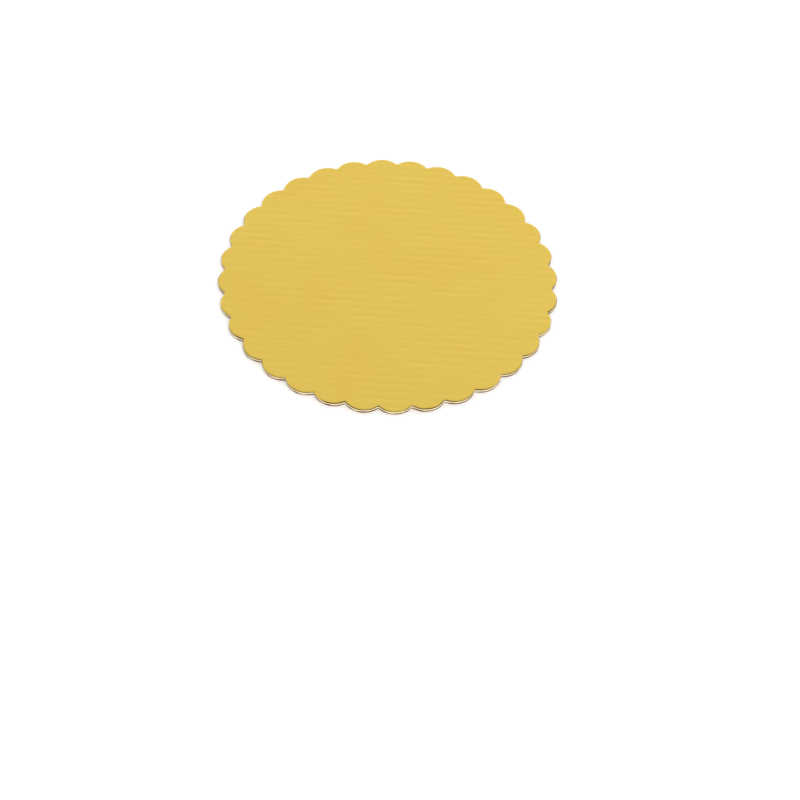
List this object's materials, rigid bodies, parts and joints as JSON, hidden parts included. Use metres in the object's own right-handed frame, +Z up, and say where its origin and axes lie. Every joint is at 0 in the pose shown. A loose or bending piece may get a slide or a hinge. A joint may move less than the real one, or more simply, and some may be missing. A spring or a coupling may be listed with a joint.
{
  "type": "cake board",
  "caption": "Round flat cake board with a scalloped rim, cut from foil-faced corrugated board, that a cake or tart stands on.",
  "frame": {"origin": "centre of the underside of the board", "axes": "+Z up through the board, out of its foil face; +X along the flutes; a cusp of the scalloped rim lies on the X axis"},
  "size_m": [0.2528, 0.2528, 0.004],
  "materials": {
    "gold_foil_board": "gloss",
    "fluting_paper": "matte",
    "back_liner_paper": "matte"
  },
  "bodies": {
    "root": {"cake_board": "gold_foil_board"}
  },
  "joints": []
}
